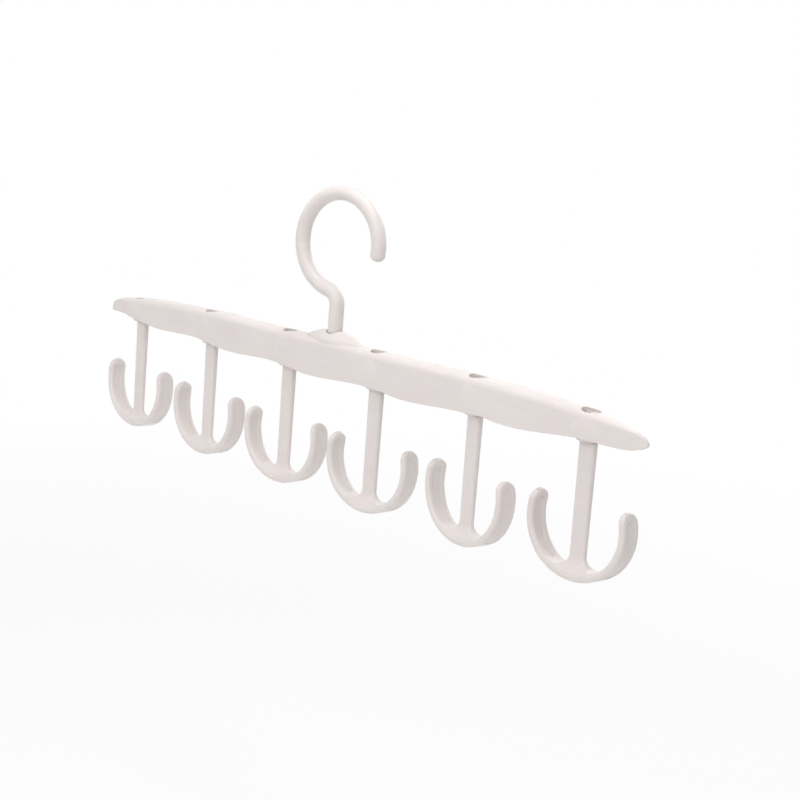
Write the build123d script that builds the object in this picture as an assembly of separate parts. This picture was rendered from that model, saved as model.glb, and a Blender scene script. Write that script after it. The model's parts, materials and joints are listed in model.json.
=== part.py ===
# A six-hook tie hanger: one moulded bar under a swivelling top hook, with six
# anchor-shaped tie hooks that turn in bosses along the bar.
# X runs along the bar, the front faces -Y and Z is up.
# The origin is on the swivel axis of the top hook, where a closet rod bears in its loop.

import os
from math import asin, cos, degrees, pi, radians, sin, sqrt

from build123d import *

# Bar, in millimetres like every size below
bar_length = 380.0
bar_thickness = 10.8
bar_height = 16.95
bar_wall = 1.8
top_corner_radius = 2.7
top_crown = 0.35
cavity_corner_radius = 1.0
nose_length = 110.0
nose_drop = 10.6
nose_taper_length = 30.0
nose_tip_width = 0.9
nose_solid_length = 16.0

# How the nose is drawn: stations along it, how it closes in, and how near the last
# station comes to the tip
nose_stations = 14
nose_taper_power = 1.6
nose_blunt_share = 0.04

# Tie hooks along the bar, from the middle outwards on each side
tip_to_hook = 30.0
hooks_per_side = 3
lip_depth_shares = (1.0, 0.96, 0.863)
rest_yaws = (0.0, 0.4, 4.1, 4.4, -4.5, 2.0)

# Lower edge from -X to +X: each scallop between two hooks starts just past one hook and
# ends just before the next, lowest nearer its start
scallop_start = 10.0
scallop_end = 1.5
scallop_place_shares = (0.0, 0.4, 0.84, 1.0)
scallop_depth_shares = (
    (0.844, 0.888, 0.846, 0.87),
    (0.95, 0.976, 0.915, 0.929),
    (0.994, 1.02, 0.941, 0.941),
    (0.962, 1.012, 0.929, 0.917),
    (0.906, 0.947, 0.829, 0.788),
)
tail_place_shares = (0.35, 0.67, 0.88, 1.0)
left_tail_depth_shares = (0.714, 0.722, 0.734, 0.743)
right_tail_depth_shares = (0.808, 0.816, 0.755, 0.64)

# Bosses that carry the tie hooks
boss_diameter = 10.0
boss_lip_round = 0.8
boss_bore_length = 8.9
recess_diameter = 8.2
pad_width = 12.0
pad_proud = 0.5
pad_lower_reach = 1.7

# Raised dome at the middle of the bar
dome_rise = 4.55
dome_arc_radius = 45.0
dome_thickness = 10.5
dome_foot_radius = 4.0
dome_foot_sink = 0.4

# Swivel of the top hook in the dome
neck_boss_diameter = 10.2
neck_boss_depth = 11.0
swivel_pin_diameter = 5.2
swivel_head_diameter = 6.6
swivel_head_height = 3.0
neck_seat_diameter = 7.6
neck_seat_depth = 1.6
neck_gap = 0.3

# Top hook
rod_seat_to_dome = 57.8
loop_radius = 22.1
loop_shift = 0.6
loop_tip_drop_angle = 15.5
rod_width = 6.6
rod_depth = 6.95
bend_radius = 6.5
loop_tip_round = 2.9
top_hook_yaw = 11.4

# Tie hook
tie_hook_height = 54.9
crown_radius = 29.0
crown_angle = 28.0
side_radius = 21.9
arm_thickness = 3.0
arm_depth = 9.1
arm_edge_round = 1.1
arm_rise_angle = 13.0
groove_width = 4.6
inner_groove_depth = 0.7
outer_groove_depth = 0.35
groove_foot_angle = 36.0
groove_head_angle = 101.0
shaft_width = 7.8
shaft_thickness = 2.5
shaft_top_thickness = 3.2
shaft_edge_round = 1.15
web_fillet_radius = 5.0
web_flare_radius = 8.0
web_foot_inset = 0.3
pin_diameter = 5.0
pin_head_diameter = 6.4
pin_head_height = 2.4

# Fits and shared sizes
pivot_clearance = 0.08
head_clearance = 0.1
shaft_clearance = 0.3
split_width = 1.2
head_rim_share = 0.3
head_lead_share = 0.7
cut_overrun = 2.0

# Places worked out from the sizes above
half_length = bar_length / 2
half_thickness = bar_thickness / 2
dome_top_z = -rod_seat_to_dome
ridge_z = dome_top_z - dome_rise
lower_z = ridge_z - bar_height
hook_pitch = (half_length - tip_to_hook) / (hooks_per_side - 0.5)
hook_reaches = [hook_pitch * (pair + 0.5) for pair in range(hooks_per_side)]
hook_xs = [-reach for reach in reversed(hook_reaches)] + hook_reaches
lip_zs = [ridge_z - bar_height * share for share in lip_depth_shares]
loop_centre_z = rod_width / 2 - loop_radius
neck_seat_z = dome_top_z - neck_seat_depth
neck_boss_z = ridge_z - neck_boss_depth
crown_centre_z = crown_radius - tie_hook_height
crown_inner_radius = crown_radius - arm_thickness
side_centre_x = (crown_radius - side_radius) * sin(radians(crown_angle))
side_centre_z = crown_centre_z - (crown_radius - side_radius) * cos(radians(crown_angle))
web_foot_half = arm_depth / 2 - web_foot_inset
web_foot_rise = web_foot_half - shaft_thickness / 2
web_flare_reach = sqrt(web_flare_radius**2 - (web_flare_radius - web_foot_rise) ** 2)


def nose_place(reach, x):
    """Place along the nose, 0 at the tip and 1 where the nose begins."""
    return min(sqrt(max(reach - abs(x), 0) / nose_length), 1)


def ridge_fall(place):
    """How far the ridge has fallen at a place along the nose."""
    return nose_drop * (1 - place * (2 - place))


def width_left(place, half_width):
    """Share of the thickness that is left at a place along the nose."""
    past_tip = min(nose_length * place**2 / nose_taper_length, 1)
    tip_share = nose_tip_width / 2 / half_width
    return 1 - (1 - tip_share) * (1 - past_tip) ** nose_taper_power


def skin_section(x, half_width, top, corner, crown):
    """Face across the bar: flat sides under rounded corners and a slightly crowned top."""
    floor_z = lower_z - cut_overrun
    shoulder = top - crown - corner
    inner = half_width - corner
    outline = Polyline(
        (-half_width, shoulder), (-half_width, floor_z), (half_width, floor_z), (half_width, shoulder)
    )
    outline += Bezier((half_width, shoulder), (half_width, top - crown), (inner, top - crown))
    outline += Bezier((inner, top - crown), (0, top + crown), (-inner, top - crown))
    outline += Bezier((-inner, top - crown), (-half_width, top - crown), (-half_width, shoulder))
    return Plane(origin=(x, 0, 0), x_dir=(0, 1, 0), z_dir=(1, 0, 0)) * make_face(outline)


def bar_skin(reach, half_width, top_z, corner):
    """Solid under the rounded ridge line: a straight middle between two lofted noses."""
    sections = []
    for station in range(nose_stations + 1):
        place = 1 - (1 - nose_blunt_share) * station / nose_stations
        share = width_left(place, half_width)
        x = reach - nose_length * place**2
        top = top_z - ridge_fall(place)
        sections.append(skin_section(x, half_width * share, top, corner * share, top_crown * share))
    nose = loft(sections)
    middle = extrude(sections[0], amount=reach - nose_length, dir=(-1, 0, 0))
    half = middle + nose
    return half + mirror(half, about=Plane.YZ)


def lower_edge_block():
    """Block above the lower edge, which hangs in a scallop between each two hooks."""
    last = len(hook_xs) - 1
    outline = Curve()
    ends = []
    for left in range(last):
        start_x = hook_xs[left] + scallop_start
        end_x = hook_xs[left + 1] - scallop_end
        points = []
        for place, depth in zip(scallop_place_shares, scallop_depth_shares[left]):
            points.append((start_x + (end_x - start_x) * place, ridge_z - bar_height * depth))
        outline += Spline(*points)
        ends.append((points[0], points[-1]))
    for left in range(last - 1):
        outline += Line(ends[left][1], ends[left + 1][0])
    for side, depths, start in (
        (-1, left_tail_depth_shares, ends[0][0]),
        (1, right_tail_depth_shares, ends[-1][1]),
    ):
        points = []
        for place, depth in zip(tail_place_shares, depths):
            points.append((side * (hook_reaches[-1] + tip_to_hook * place), ridge_z - bar_height * depth))
        outline += Spline(*points)
        outline += Line(start, points[0])
        top = (points[-1][0], dome_top_z + cut_overrun)
        outline += Polyline(points[-1], top, (0, top[1]))
    return extrude(Plane.XZ * make_face(outline), amount=bar_thickness, both=True)


def hook_pad(reach, pair):
    """Soft swelling of both faces of the bar beside one boss."""
    radius = half_thickness + pad_proud
    spread = sqrt(1 - (half_thickness / radius) ** 2)
    top = ridge_z - ridge_fall(nose_place(half_length, reach)) - top_corner_radius - top_crown
    foot = lip_zs[pair] - pad_lower_reach
    stretch = (pad_width / 2 / spread / radius, 1, (top - foot) / 2 / spread / radius)
    swelling = Pos(reach, 0, (top + foot) / 2) * scale(Sphere(radius), by=stretch)
    above = Pos(reach, 0, top) * Box(
        pad_width * 4, bar_thickness * 2, bar_height * 4, align=(Align.CENTER, Align.CENTER, Align.MIN)
    )
    return swelling - above


def dome():
    """Raised dome: an arc turned about a line along the bar, with a hollow foot at each end."""
    peak = dome_thickness / 2
    foot = peak - dome_rise
    centre_r = peak - dome_arc_radius
    foot_centre_r = foot + dome_foot_radius
    foot_x = sqrt((dome_arc_radius + dome_foot_radius) ** 2 - (foot_centre_r - centre_r) ** 2)
    share = dome_arc_radius / (dome_arc_radius + dome_foot_radius)
    meet = (foot_x * share, centre_r + (foot_centre_r - centre_r) * share)
    half_turn = radians(45)
    hollow = (
        foot_x - dome_foot_radius * sin(half_turn) * dome_foot_sink,
        foot_centre_r - sqrt(dome_foot_radius**2 - (dome_foot_radius * sin(half_turn) * dome_foot_sink) ** 2),
    )
    outline = ThreePointArc((-meet[0], meet[1]), (0, peak), meet)
    outline += ThreePointArc(meet, hollow, (foot_x, foot))
    outline += Polyline((foot_x, foot), (foot_x, 0), (-foot_x, 0), (-foot_x, foot))
    outline += ThreePointArc((-foot_x, foot), (-hollow[0], hollow[1]), (-meet[0], meet[1]))
    return Pos(0, 0, dome_top_z - peak) * revolve(Plane.XZ * make_face(outline), axis=Axis.X)


def upright(diameter, low_z, high_z):
    """Round bar on the Z axis between two heights."""
    return Pos(0, 0, low_z) * Cylinder(
        diameter / 2, high_z - low_z, align=(Align.CENTER, Align.CENTER, Align.MIN)
    )


def snap_head(diameter, stem_diameter, height):
    """Snap head that stands on its rim at z = 0 and narrows to a lead-in at its top."""
    rim = height * head_rim_share
    lead = stem_diameter * head_lead_share
    outline = Polyline(
        (0, 0), (diameter / 2, 0), (diameter / 2, rim), (lead / 2, height), (0, height), (0, 0)
    )
    return revolve(Plane.XZ * make_face(outline), axis=Axis.Z)


def split_slot(seat_z, head_diameter, head_height):
    """Slot that splits a snap head and the pin under it into two prongs."""
    return Pos(0, 0, seat_z) * Box(split_width, head_diameter * 2, (head_height + cut_overrun) * 2)


def hanger_bar():
    """Bar with its dome, its hollow underside and the seven bosses that carry the hooks."""
    bar = bar_skin(half_length, half_thickness, ridge_z, top_corner_radius) + dome()
    for pair, reach in enumerate(hook_reaches):
        pad = hook_pad(reach, pair)
        bar = bar + pad + mirror(pad, about=Plane.YZ)
    bar = bar & lower_edge_block()
    bar = bar - bar_skin(
        half_length - nose_solid_length, half_thickness - bar_wall, ridge_z - bar_wall, cavity_corner_radius
    )
    bar = bar + upright(neck_boss_diameter, neck_boss_z, ridge_z - top_corner_radius)
    bar = bar - upright(swivel_pin_diameter + 2 * pivot_clearance, neck_boss_z - cut_overrun, dome_top_z)
    bar = bar - upright(neck_seat_diameter, neck_seat_z, dome_top_z + cut_overrun)
    for pair, reach in enumerate(hook_reaches):
        ridge_here = ridge_z - ridge_fall(nose_place(half_length, reach))
        floor_z = lip_zs[pair] + boss_bore_length
        boss = upright(boss_diameter, lip_zs[pair], ridge_here - top_corner_radius)
        boss = fillet(boss.edges().sort_by(Axis.Z)[0], boss_lip_round)
        bore = upright(pin_diameter + 2 * pivot_clearance, lip_zs[pair] - cut_overrun, floor_z + cut_overrun)
        recess = upright(recess_diameter, floor_z, dome_top_z)
        for x in (reach, -reach):
            bar = bar + Pos(x, 0, 0) * boss
            bar = bar - Pos(x, 0, 0) * bore
            bar = bar - Pos(x, 0, 0) * recess
    return bar


def top_hook():
    """Round rod bent into a closet-rod loop over an upright neck, with a snap pin below."""
    neck_z = neck_seat_z + neck_gap
    between = loop_radius + bend_radius
    aside = bend_radius - loop_shift
    bend_z = loop_centre_z - sqrt(between**2 - aside**2)
    bend_angle = 90 - degrees(asin(aside / between))
    neck = Line((0, neck_z), (0, bend_z))
    bend = JernArc(start=neck @ 1, tangent=neck % 1, radius=bend_radius, arc_size=bend_angle)
    loop_angle = 180 + bend_angle + loop_tip_drop_angle
    loop = JernArc(start=bend @ 1, tangent=bend % 1, radius=loop_radius, arc_size=-loop_angle)
    section = Pos(0, 0, neck_z) * Ellipse(rod_width / 2, rod_depth / 2)
    rod = sweep(section, path=Plane.XZ * (neck + bend + loop))
    tip = rod.faces().filter_by(GeomType.PLANE).sort_by(Axis.X)[-1]
    rod = fillet(tip.edges(), loop_tip_round)

    pin_foot = neck_boss_z - head_clearance
    pin = upright(swivel_pin_diameter, pin_foot, neck_z)
    pin = pin + Pos(0, 0, pin_foot) * Rot(180, 0, 0) * snap_head(
        swivel_head_diameter, swivel_pin_diameter, swivel_head_height
    )
    pin = pin - split_slot(pin_foot, swivel_head_diameter, swivel_head_height)
    return Rot(0, 0, top_hook_yaw) * (rod + pin)


def arc_bar(centre, radius, section, start, end):
    """Bar with a given section bent round a centre, between two angles from straight down."""
    radial = Vector(sin(radians(end)), 0, -cos(radians(end)))
    along = Vector(cos(radians(end)), 0, sin(radians(end)))
    place = Plane(origin=centre + radial * radius, x_dir=radial, z_dir=along)
    return revolve(place * section, axis=Axis(centre, (0, 1, 0)), revolution_arc=end - start)


def tongue(centre, radius, section, depth, angle, side):
    """Rounded end of such a bar at one angle, half as long as the bar is deep."""
    radial = Vector(sin(radians(angle)), 0, -cos(radians(angle)))
    along = Vector(cos(radians(angle)), 0, sin(radians(angle)))
    place = Plane(origin=centre + radial * radius, x_dir=radial, z_dir=along)
    half = section & Pos(0, depth / 2) * Rectangle(depth, depth)
    return revolve(place * half, axis=Axis(place.origin, radial), revolution_arc=180 * side)


def arms():
    """The two arms: a flat arc under the shaft that runs into a tighter arc at each side.

    A groove runs along the inner and the outer face of each side arc.
    """
    section = RectangleRounded(arm_thickness, arm_depth, arm_edge_round)
    crown_centre = Vector(0, 0, crown_centre_z)
    side_centre = Vector(side_centre_x, 0, side_centre_z)
    rise = 90 + arm_rise_angle
    side_middle = side_radius - arm_thickness / 2
    side_arm = arc_bar(side_centre, side_middle, section, crown_angle, rise)
    side_arm = side_arm + tongue(side_centre, side_middle, section, arm_depth, rise, 1)
    for face_radius, groove_depth, outwards in (
        (side_radius - arm_thickness, inner_groove_depth, -1),
        (side_radius, outer_groove_depth, 1),
    ):
        cut_thickness = 2 * groove_depth + arm_thickness
        cut_radius = face_radius + outwards * arm_thickness / 2
        cutter = RectangleRounded(cut_thickness, groove_width, groove_depth)
        side_arm = side_arm - arc_bar(side_centre, cut_radius, cutter, groove_foot_angle, groove_head_angle)
        for angle, side in ((groove_head_angle, 1), (groove_foot_angle, -1)):
            side_arm = side_arm - tongue(side_centre, cut_radius, cutter, groove_width, angle, side)
    crown = arc_bar(crown_centre, crown_radius - arm_thickness / 2, section, -crown_angle, crown_angle)
    return crown + side_arm + mirror(side_arm, about=Plane.YZ)


def web_profile():
    """Depth of the foot of the shaft at each distance from the centre of the lower arc."""
    thin = shaft_thickness / 2
    thick = web_foot_half
    inner = crown_inner_radius
    start = inner - web_flare_reach
    halfway = inner - web_flare_reach / 2
    middle = thin + web_flare_radius - sqrt(web_flare_radius**2 - (web_flare_reach / 2) ** 2)
    root = crown_radius - arm_thickness / 2
    outline = Polyline((start, -thin), (shaft_width / 2, -thin), (shaft_width / 2, thin), (start, thin))
    outline += ThreePointArc((start, thin), (halfway, middle), (inner, thick))
    outline += Polyline((inner, thick), (root, thick), (root, -thick), (inner, -thick))
    outline += ThreePointArc((inner, -thick), (halfway, -middle), (start, -thin))
    return make_face(outline)


def shaft():
    """Flat blade that widens at its foot into the arms, with its long edges rounded."""
    half_width = shaft_width / 2
    centre_x = half_width + web_fillet_radius
    free_radius = crown_inner_radius - web_fillet_radius
    fall = sqrt(free_radius**2 - centre_x**2)
    foot_z = crown_centre_z - fall
    meet_share = crown_inner_radius / free_radius
    meet = Vector(centre_x * meet_share, crown_centre_z - fall * meet_share)
    root_share = (crown_radius - arm_thickness / 2) / free_radius
    root = Vector(centre_x * root_share, crown_centre_z - fall * root_share)
    root_low = crown_centre_z - crown_radius + arm_thickness / 2
    centre = Vector(centre_x, foot_z)
    halfway = centre + (Vector(-1, 0) + (meet - centre).normalized()).normalized() * web_fillet_radius
    right = ThreePointArc((half_width, foot_z), halfway, meet) + Line(meet, root)
    outline = Line((-half_width, foot_z), (half_width, foot_z)) + right + mirror(right, about=Plane.YZ)
    outline += ThreePointArc(root, (0, root_low), (-root.X, root.Y))
    front_view = extrude(Plane.XZ * make_face(outline), amount=arm_depth, both=True)
    foot = front_view & (Pos(0, 0, crown_centre_z) * revolve(web_profile(), axis=Axis.Y))
    blade = loft(
        [
            Pos(0, 0, foot_z) * Rectangle(shaft_width, shaft_thickness),
            Pos(0, 0, -shaft_clearance) * Rectangle(shaft_width, shaft_top_thickness),
        ]
    )
    solid = foot + blade
    long_edges = []
    for edge in solid.edges():
        middle = edge.center()
        beside = half_width / 2 < abs(middle.X) < meet.X
        if beside and abs(middle.Y) > shaft_thickness / 4:
            long_edges.append(edge)
    return fillet(long_edges, shaft_edge_round)


def tie_hook():
    """Anchor-shaped hook under its pin. Its z = 0 is the lower face of the boss that carries it."""
    head_z = boss_bore_length + head_clearance
    pin = upright(pin_diameter, -shaft_clearance, head_z)
    pin = pin + Pos(0, 0, head_z) * snap_head(pin_head_diameter, pin_diameter, pin_head_height)
    pin = pin - split_slot(head_z, pin_head_diameter, pin_head_height)
    return arms() + shaft() + pin


def write_parts():
    """Write each piece to its own file."""
    os.makedirs("parts", exist_ok=True)
    export_step(hanger_bar(), "parts/hanger_bar.step")
    export_step(top_hook(), "parts/top_hook.step")
    one_hook = tie_hook()
    hook_lips = list(reversed(lip_zs)) + lip_zs
    for number, (x, lip_z, yaw) in enumerate(zip(hook_xs, hook_lips, rest_yaws), start=1):
        placed = Pos(x, 0, lip_z) * Rot(0, 0, yaw) * one_hook
        export_step(placed, f"parts/tie_hook_{number}.step")


write_parts()
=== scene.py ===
import bpy
import json
import math
import numpy as np
from mathutils import Matrix, Vector


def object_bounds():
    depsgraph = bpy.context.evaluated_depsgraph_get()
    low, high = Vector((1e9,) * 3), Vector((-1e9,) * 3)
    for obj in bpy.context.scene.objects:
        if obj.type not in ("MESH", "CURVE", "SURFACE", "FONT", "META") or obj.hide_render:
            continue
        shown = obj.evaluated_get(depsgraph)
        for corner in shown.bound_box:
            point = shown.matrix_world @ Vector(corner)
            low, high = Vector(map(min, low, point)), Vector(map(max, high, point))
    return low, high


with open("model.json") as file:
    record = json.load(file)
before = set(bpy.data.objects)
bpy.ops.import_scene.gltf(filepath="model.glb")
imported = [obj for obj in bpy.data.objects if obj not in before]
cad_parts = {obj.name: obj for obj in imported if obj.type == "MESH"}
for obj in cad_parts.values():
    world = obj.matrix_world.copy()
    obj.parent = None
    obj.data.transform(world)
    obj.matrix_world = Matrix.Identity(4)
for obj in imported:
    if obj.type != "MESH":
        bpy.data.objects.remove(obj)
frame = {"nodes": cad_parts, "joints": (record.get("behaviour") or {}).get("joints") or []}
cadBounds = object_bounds()
scene = bpy.context.scene
nodes = frame["nodes"]
pivots = {joint["child"]: joint["pos_m"] for joint in frame["joints"]}
print("frame loaded:", len(nodes), "pieces")


def toLinear(colour):
    # screen values 0 to 255 to linear light: a straight foot, then a power
    c = np.asarray(colour, float) / 255
    return tuple(np.where(c <= 0.04045, c / 12.92, ((c + 0.055) / 1.055) ** 2.4)) + (1.0,)


def newGroup(name, inputs, outputs):
    # inputs and outputs: socket name and socket kind
    group = bpy.data.node_groups.new(name, "ShaderNodeTree")
    for label, kind in inputs.items():
        group.interface.new_socket(label, in_out="INPUT", socket_type="NodeSocket" + kind)
    for label, kind in outputs.items():
        group.interface.new_socket(label, in_out="OUTPUT", socket_type="NodeSocket" + kind)
    given = group.nodes.new("NodeGroupInput").outputs
    result = group.nodes.new("NodeGroupOutput").inputs
    return group, given, result


def addNode(tree, kind, links=None, **settings):
    # a node with its settings, and links from other sockets or plain values into its inputs
    node = tree.nodes.new("ShaderNode" + kind)
    for key, value in settings.items():
        setattr(node, key, value)
    for key, value in (links or {}).items():
        if isinstance(value, bpy.types.NodeSocket):
            tree.links.new(value, node.inputs[key])
        else:
            node.inputs[key].default_value = value
    return node


def addMath(tree, operation, a, b=0.0, clamp=False):
    return addNode(tree, "Math", {0: a, 1: b}, operation=operation, use_clamp=clamp).outputs[0]


def addNoise(tree, spot, scale, detail):
    return addNode(tree, "TexNoise", {"Vector": spot, "Scale": scale, "Detail": detail}).outputs["Fac"]


def addRange(tree, value, low, high, toLow=0.0, toHigh=1.0):
    # low to high becomes toLow to toHigh, and stays inside them
    links = {"Value": value, "From Min": low, "From Max": high, "To Min": toLow, "To Max": toHigh}
    return addNode(tree, "MapRange", links).outputs[0]


def addBlend(tree, share, a, b):
    # a number between a and b
    return addNode(tree, "Mix", {0: share, 2: a, 3: b}).outputs[0]


def addTint(tree, share, a, b):
    # a colour between a and b
    return addNode(tree, "Mix", {0: share, 6: a, 7: b}, data_type="RGBA").outputs[2]


def objectSpot(tree):
    return addNode(tree, "TexCoord").outputs["Object"]


# fine grain that the mould leaves: a coarse noise for the swell and a fine one for the skin
grain = {"swellDetail": 3.0, "skinDetail": 2.0, "skinTimesFiner": 4.7}


def makeGrainGroup():
    inputs = {"Scale": "Float", "Fineness": "Float"}
    group, given, result = newGroup("mouldGrain", inputs, {"Height": "Float"})
    spot = objectSpot(group)
    swell = addNoise(group, spot, given["Scale"], grain["swellDetail"])
    skinScale = addMath(group, "MULTIPLY", given["Scale"], grain["skinTimesFiner"])
    skin = addNoise(group, spot, skinScale, grain["skinDetail"])
    height = addBlend(group, given["Fineness"], swell, skin)
    group.links.new(height, result["Height"])
    return group


# tone of the plastic: slow clouds and streaks drawn out along the flow, between a pale and a deep colour
flow = {
    "cloudDetail": 4.0,
    "streakStretch": (0.25, 2.0, 2.4),
    "streakTimesFiner": 6.0,
    "streakDetail": 2.0,
    "paleBelow": 0.3,
    "deepAbove": 0.7,
}


def makeToneGroup():
    inputs = {"Pale": "Color", "Deep": "Color", "Scale": "Float", "Streaks": "Float"}
    group, given, result = newGroup("flowTone", inputs, {"Color": "Color"})
    spot = objectSpot(group)
    clouds = addNoise(group, spot, given["Scale"], flow["cloudDetail"])
    drawn = addNode(group, "Mapping", {"Vector": spot, "Scale": flow["streakStretch"]}).outputs[0]
    streakScale = addMath(group, "MULTIPLY", given["Scale"], flow["streakTimesFiner"])
    streaks = addNoise(group, drawn, streakScale, flow["streakDetail"])
    both = addBlend(group, given["Streaks"], clouds, streaks)
    depth = addRange(group, both, flow["paleBelow"], flow["deepAbove"])
    tint = addTint(group, depth, given["Pale"], given["Deep"])
    group.links.new(tint, result["Color"])
    return group


# rounded edge: the bevelled normal, and how far it leans from the true one, broken up by noise; this lean
# masks paler edges, wear and painted highlight
wearAndHighlight = {"samples": 6, "chipScale": 260.0, "chipDetail": 3.0}


def makeEdgeGroup():
    inputs = {"Radius": "Float", "Gain": "Float"}
    group, given, result = newGroup("roundedEdge", inputs, {"Normal": "Vector", "Mask": "Float"})
    rounded = addNode(group, "Bevel", {"Radius": given["Radius"]}, samples=wearAndHighlight["samples"]).outputs[0]
    true = addNode(group, "NewGeometry").outputs["Normal"]
    along = addNode(group, "VectorMath", {0: rounded, 1: true}, operation="DOT_PRODUCT").outputs["Value"]
    lean = addMath(group, "SUBTRACT", 1.0, along)
    chips = addNoise(group, objectSpot(group), wearAndHighlight["chipScale"], wearAndHighlight["chipDetail"])
    broken = addMath(group, "MULTIPLY", lean, chips)
    mask = addMath(group, "MULTIPLY", broken, given["Gain"], clamp=True)
    group.links.new(rounded, result["Normal"])
    group.links.new(mask, result["Mask"])
    return group


# dust and painted shade in corners: darker where a spot is closed in, made uneven by noise
dustAndShade = {"samples": 6, "speckScale": 600.0, "speckDetail": 4.0, "thin": 0.6, "thick": 1.3}


def makeDustAndShadeGroup():
    inputs = {"Reach": "Float", "Amount": "Float"}
    group, given, result = newGroup("cornerDustAndShade", inputs, {"Mask": "Float"})
    links = {"Distance": given["Reach"]}
    openness = addNode(group, "AmbientOcclusion", links, samples=dustAndShade["samples"]).outputs["AO"]
    shut = addMath(group, "SUBTRACT", 1.0, openness)
    specks = addNoise(group, objectSpot(group), dustAndShade["speckScale"], dustAndShade["speckDetail"])
    uneven = addRange(group, specks, 0.0, 1.0, dustAndShade["thin"], dustAndShade["thick"])
    dustyAndShaded = addMath(group, "MULTIPLY", shut, uneven)
    mask = addMath(group, "MULTIPLY", dustyAndShaded, given["Amount"], clamp=True)
    group.links.new(mask, result["Mask"])
    return group


# rubbed skin: patches that handling has polished or dulled, with hair scratches in them
rub = {
    "patchDetail": 5.0,
    "polishedBelow": 0.3,
    "dulledAbove": 0.7,
    "hairTurn": (0.3, 0.5, 0.7),
    "hairStretch": (0.08, 1.0, 1.0),
    "hairTimesFiner": 40.0,
    "hairDetail": 1.0,
    "hairFrom": 0.68,
    "hairFull": 0.76,
}


def makeRubGroup():
    inputs = {"Scale": "Float", "Low": "Float", "High": "Float"}
    group, given, result = newGroup("rubbedSkin", inputs, {"Roughness": "Float", "Scratch": "Float"})
    spot = objectSpot(group)
    patches = addNoise(group, spot, given["Scale"], rub["patchDetail"])
    rough = addRange(group, patches, rub["polishedBelow"], rub["dulledAbove"], given["Low"], given["High"])
    links = {"Vector": spot, "Rotation": rub["hairTurn"], "Scale": rub["hairStretch"]}
    drawn = addNode(group, "Mapping", links).outputs[0]
    hairScale = addMath(group, "MULTIPLY", given["Scale"], rub["hairTimesFiner"])
    hairs = addNoise(group, drawn, hairScale, rub["hairDetail"])
    scratch = addRange(group, hairs, rub["hairFrom"], rub["hairFull"])
    group.links.new(rough, result["Roughness"])
    group.links.new(scratch, result["Scratch"])
    return group


def makeSeamGroup():
    # parting line of the mould: a raised thread that falls off on both sides of Y zero
    inputs = {"Place": "Vector", "Width": "Float"}
    group, given, result = newGroup("partingLine", inputs, {"Height": "Float"})
    across = addNode(group, "SeparateXYZ", {0: given["Place"]}).outputs["Y"]
    away = addMath(group, "DIVIDE", addMath(group, "ABSOLUTE", across), given["Width"])
    ridge = addMath(group, "SUBTRACT", 1.0, away, clamp=True)
    group.links.new(ridge, result["Height"])
    return group


grainGroup = makeGrainGroup()
toneGroup = makeToneGroup()
edgeGroup = makeEdgeGroup()
dustAndShadeGroup = makeDustAndShadeGroup()
rubGroup = makeRubGroup()
seamGroup = makeSeamGroup()
print("shader groups ready")

# what all the pieces share, in metres, degrees and screen colours
plastic = {
    "pale": (231, 224, 221),
    "deep": (226, 217, 215),
    # dust colour: dust and painted shade in the corners
    "dustAndShade": (178, 168, 160),
    # worn colour: wear and painted highlight on the edges
    "wornAndHighlight": (238, 234, 232),
    "toneScale": 24.0,
    "streaks": 0.35,
    "edgeRadius": 0.0004,
    "edgeGain": 2.5,
    "dustAndShadeReach": 0.003,
    "dustAndShadeAmount": 0.35,
    "dustDulls": 0.35,
    "rubScale": 70.0,
    "roughLow": 0.34,
    "roughHigh": 0.48,
    "scratchDepth": 0.000004,
    "grainScale": 1300.0,
    "grainFineness": 0.35,
    "grainDepth": 0.000012,
    "seamWidth": 0.00016,
    "seamHeight": 0.0,
    "seamTurn": 0.0,
    "reliefStrength": 0.6,
    "ior": 1.49,
    "glow": 0.12,
    "glowDepth": 0.0012,
    "glowReach": (1.0, 0.8, 0.7),   # red light goes furthest
}


def placeGroup(tree, group, values):
    node = tree.nodes.new("ShaderNodeGroup")
    node.node_tree = group
    for key, value in values.items():
        node.inputs[key].default_value = value
    return node


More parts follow.
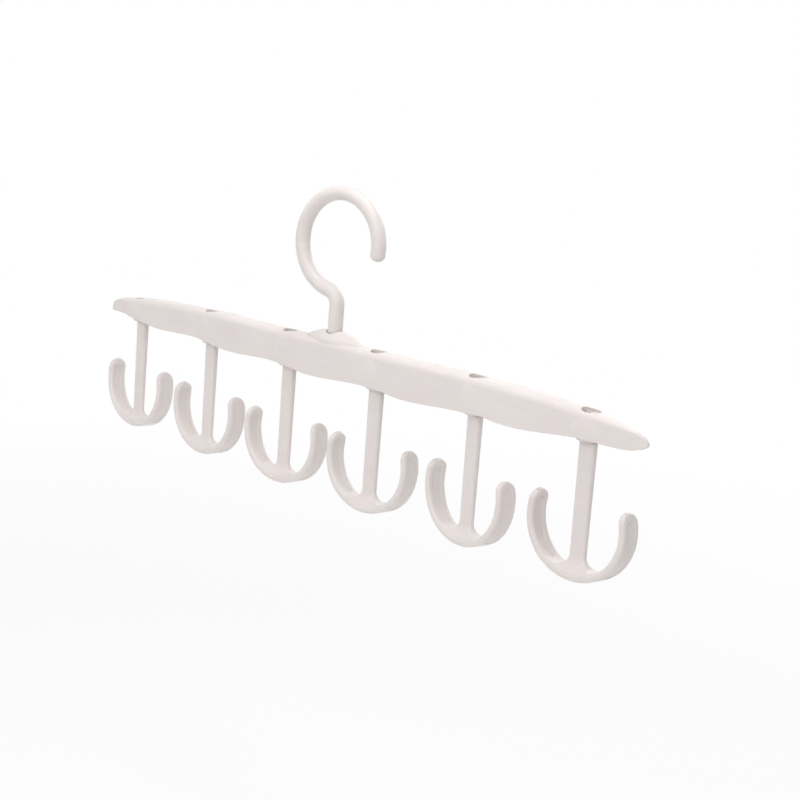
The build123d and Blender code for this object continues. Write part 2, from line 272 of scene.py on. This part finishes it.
def mouldedPlastic(name, piece, axisX):
    # satin white plastic; its seam lies in the upright plane through the piece's axis, turned with it
    mat = bpy.data.materials.new(name)
    mat.use_nodes = True
    tree = mat.node_tree
    bsdf = tree.nodes["Principled BSDF"].inputs
    bsdf["IOR"].default_value = piece["ior"]
    bsdf["Subsurface Weight"].default_value = piece["glow"]
    bsdf["Subsurface Scale"].default_value = piece["glowDepth"]
    bsdf["Subsurface Radius"].default_value = piece["glowReach"]

    colours = {"Pale": toLinear(piece["pale"]), "Deep": toLinear(piece["deep"])}
    tone = placeGroup(tree, toneGroup, {**colours, "Scale": piece["toneScale"], "Streaks": piece["streaks"]})
    edge = placeGroup(tree, edgeGroup, {"Radius": piece["edgeRadius"], "Gain": piece["edgeGain"]})
    corner = placeGroup(tree, dustAndShadeGroup, {"Reach": piece["dustAndShadeReach"], "Amount": piece["dustAndShadeAmount"]})
    skinValues = {"Scale": piece["rubScale"], "Low": piece["roughLow"], "High": piece["roughHigh"]}
    skin = placeGroup(tree, rubGroup, skinValues)
    grit = placeGroup(tree, grainGroup, {"Scale": piece["grainScale"], "Fineness": piece["grainFineness"]})
    seam = placeGroup(tree, seamGroup, {"Width": piece["seamWidth"]})

    centred = addNode(tree, "Mapping", {"Vector": objectSpot(tree), "Location": (-axisX, 0, 0)}).outputs[0]
    turnBack = (0, 0, -math.radians(piece["seamTurn"]))
    turned = addNode(tree, "Mapping", {"Vector": centred, "Rotation": turnBack}).outputs[0]
    tree.links.new(turned, seam.inputs["Place"])

    # colour: tone, then dust and painted shade in the corners, then paler edges that are wear and painted
    # highlight
    dustedAndShaded = addTint(tree, corner.outputs["Mask"], tone.outputs["Color"], toLinear(piece["dustAndShade"]))
    wornAndHighlight = addTint(tree, edge.outputs["Mask"], dustedAndShaded, toLinear(piece["wornAndHighlight"]))
    tree.links.new(wornAndHighlight, bsdf["Base Color"])

    # roughness: rubbed patches, dulled by dust
    dulled = addMath(tree, "MULTIPLY", corner.outputs["Mask"], piece["dustDulls"])
    rough = addMath(tree, "ADD", skin.outputs["Roughness"], dulled, clamp=True)
    tree.links.new(rough, bsdf["Roughness"])

    # relief in metres: grain, scratches and the seam
    grainRise = addMath(tree, "MULTIPLY", grit.outputs["Height"], piece["grainDepth"])
    scratchFall = addMath(tree, "MULTIPLY", skin.outputs["Scratch"], -piece["scratchDepth"])
    seamRise = addMath(tree, "MULTIPLY", seam.outputs["Height"], piece["seamHeight"])
    relief = addMath(tree, "ADD", addMath(tree, "ADD", grainRise, scratchFall), seamRise)
    links = {"Height": relief, "Distance": 1.0, "Strength": piece["reliefStrength"],
             "Normal": edge.outputs["Normal"]}
    bump = addNode(tree, "Bump", links).outputs[0]
    tree.links.new(bump, bsdf["Normal"])
    return mat


def dress(nodeName, materialName, piece, axisX=0.0):
    material = mouldedPlastic(materialName, piece, axisX)
    for slot in nodes[nodeName].material_slots:
        slot.material = material


# the bar, moulded in one with its dome and bosses
dress("hanger_bar", "barPlastic", plastic)

# the top hook: a parting line in the plane of the loop, which stands turned to the bar; its colours are a
# little darker than the bar's, a painted shade
topHook = dict(plastic, seamTurn=11.4, seamHeight=0.00005, pale=(229, 222, 219), deep=(223, 215, 213))
dress("top_hook", "topHookPlastic", topHook)

# the tie hooks share one plastic; each gets its colours made a little lighter or darker, painted light and
# shade for how brightly each hook is lit
tieHook = dict(plastic, seamHeight=0.00004)
tieHookTurns = (0.0, 0.4, 4.1, 4.4, -4.5, 2.0)      # as each stands in its boss, from -X to +X
tieHookPaintedShade = (1.0, 0.0, 0.5, -0.5, 0.0, -1.5)    # added to the screen colours
for number, (turn, paintedShade) in enumerate(zip(tieHookTurns, tieHookPaintedShade), start=1):
    node = f"tie_hook_{number}"
    paintedShadeColours = {key: tuple(value + paintedShade for value in plastic[key]) for key in ("pale", "deep")}
    dress(node, f"tieHookPlastic{number}", dict(tieHook, seamTurn=turn, **paintedShadeColours), pivots[node][0])
print("plastic ready")

# the room, in metres and screen colours: white levels of 1 are the white of the picture
room = {
    "floorDrop": 0.20,          # below the lowest point of the hanger
    "floorReach": 6.0,          # from the middle to each side
    "floorColour": (250, 250, 250),
    "floorRoughness": 0.9,
    "whiteNear": 0.8,           # share of white under the hanger, so that a soft shadow stays
    "whiteFar": 1.0,
    "fadeStart": 0.5,
    "fadeEnd": 1.2,
    "skyLeft": 0.50,            # the light all round is a little brighter from -X than from +X
    "skyRight": 0.44,
    "whiteLevel": 1.0,
}


def whiteRays(tree):
    # 1 for the rays that see the background: camera, glossy and transmission
    rays = addNode(tree, "LightPath").outputs
    direct = addMath(tree, "ADD", rays["Is Camera Ray"], rays["Is Glossy Ray"])
    return addMath(tree, "ADD", direct, rays["Is Transmission Ray"], clamp=True)


def makeFloor():
    # a square that turns into the white of the background away from the middle
    z = cadBounds[0].z - room["floorDrop"]
    reach = room["floorReach"]
    corners = [(-reach, -reach, z), (reach, -reach, z), (reach, reach, z), (-reach, reach, z)]
    mesh = bpy.data.meshes.new("floor")
    mesh.from_pydata(corners, [], [(0, 1, 2, 3)])
    mat = bpy.data.materials.new("paleFloor")
    mat.use_nodes = True
    mesh.materials.append(mat)
    tree = mat.node_tree
    paint = tree.nodes["Principled BSDF"]
    paint.inputs["Base Color"].default_value = toLinear(room["floorColour"])
    paint.inputs["Roughness"].default_value = room["floorRoughness"]
    level = addNode(tree, "VectorMath", {0: objectSpot(tree), 1: (1, 1, 0)}, operation="MULTIPLY").outputs[0]
    away = addNode(tree, "VectorMath", {0: level}, operation="LENGTH").outputs["Value"]
    fade = addRange(tree, away, room["fadeStart"], room["fadeEnd"], room["whiteNear"], room["whiteFar"])
    share = addMath(tree, "MULTIPLY", whiteRays(tree), fade)
    white = addNode(tree, "Emission", {"Color": (1, 1, 1, 1), "Strength": room["whiteLevel"]}).outputs[0]
    mixed = addNode(tree, "MixShader", {0: share, 1: paint.outputs[0], 2: white}).outputs[0]
    tree.links.new(mixed, tree.nodes["Material Output"].inputs["Surface"])
    floor = bpy.data.objects.new("floor", mesh)
    scene.collection.objects.link(floor)


def makeWorld():
    # a plain grey light all round that the camera and reflections see as white
    world = bpy.data.worlds.new("studio")
    world.use_nodes = True
    tree = world.node_tree
    way = addNode(tree, "TexCoord").outputs["Generated"]
    side = addNode(tree, "SeparateXYZ", {0: way}).outputs["X"]
    sky = addRange(tree, side, -1.0, 1.0, room["skyLeft"], room["skyRight"])
    strength = addBlend(tree, whiteRays(tree), sky, room["whiteLevel"])
    background = tree.nodes["Background"].inputs
    background["Color"].default_value = (1, 1, 1, 1)
    tree.links.new(strength, background["Strength"])
    scene.world = world


makeFloor()
makeWorld()
print("room ready")

# soft boxes: place and side in metres, and watts; all face the aim
softBoxes = {
    "right": {"place": (0.60, -0.70, 0.40), "side": 0.50, "watts": 2.9},
    "left": {"place": (-0.45, -0.55, 0.15), "side": 0.35, "watts": 0.6},
    "above": {"place": (0.07, -0.06, 0.40), "side": 0.32, "watts": 1.25},
    "behind": {"place": (-0.35, 1.30, 0.50), "side": 0.90, "watts": 6.0},
}
lampAim = Vector((0.0, 0.0, -0.09))


def hangSoftBox(name, box):
    data = bpy.data.lights.new(name, "AREA")
    data.shape = "SQUARE"
    data.size = box["side"]
    data.energy = box["watts"]
    lamp = bpy.data.objects.new(name, data)
    scene.collection.objects.link(lamp)
    lamp.visible_camera = False
    lamp.location = box["place"]
    lamp.rotation_mode = "QUATERNION"
    lamp.rotation_quaternion = (lampAim - lamp.location).to_track_quat("-Z", "Y")


for name, box in softBoxes.items():
    hangSoftBox(name, box)
print("soft boxes ready")

# the camera as the photograph was taken, in degrees and metres
view = {
    "azimuth": 49.225,
    "elevation": 9.689,
    "roll": 4.36,
    "distance": 0.79606,
    "aim": (0.01450, 0.02888, -0.08877),
    "focalPixels": 1746.65,
    "imagePixels": 800,
    "sensorMm": 36.0,
}


def placeCamera():
    # backward points from the aim to the camera; the roll turns right and up about it
    turn, rise, roll = (math.radians(view[key]) for key in ("azimuth", "elevation", "roll"))
    backward = Vector((math.sin(turn) * math.cos(rise), -math.cos(turn) * math.cos(rise), math.sin(rise)))
    sideways = Vector((math.cos(turn), math.sin(turn), 0))
    upright = sideways.cross(-backward)
    right = math.cos(roll) * sideways + math.sin(roll) * upright
    up = -math.sin(roll) * sideways + math.cos(roll) * upright
    data = bpy.data.cameras.new("photoCamera")
    data.sensor_width = view["sensorMm"]
    data.lens = view["focalPixels"] / view["imagePixels"] * view["sensorMm"]
    camera = bpy.data.objects.new("photoCamera", data)
    scene.collection.objects.link(camera)
    camera.matrix_world = Matrix((right, up, backward)).transposed().to_4x4()
    camera.location = Vector(view["aim"]) + backward * view["distance"]
    scene.camera = camera


placeCamera()
scene.view_settings.view_transform = "Standard"
print("camera ready")
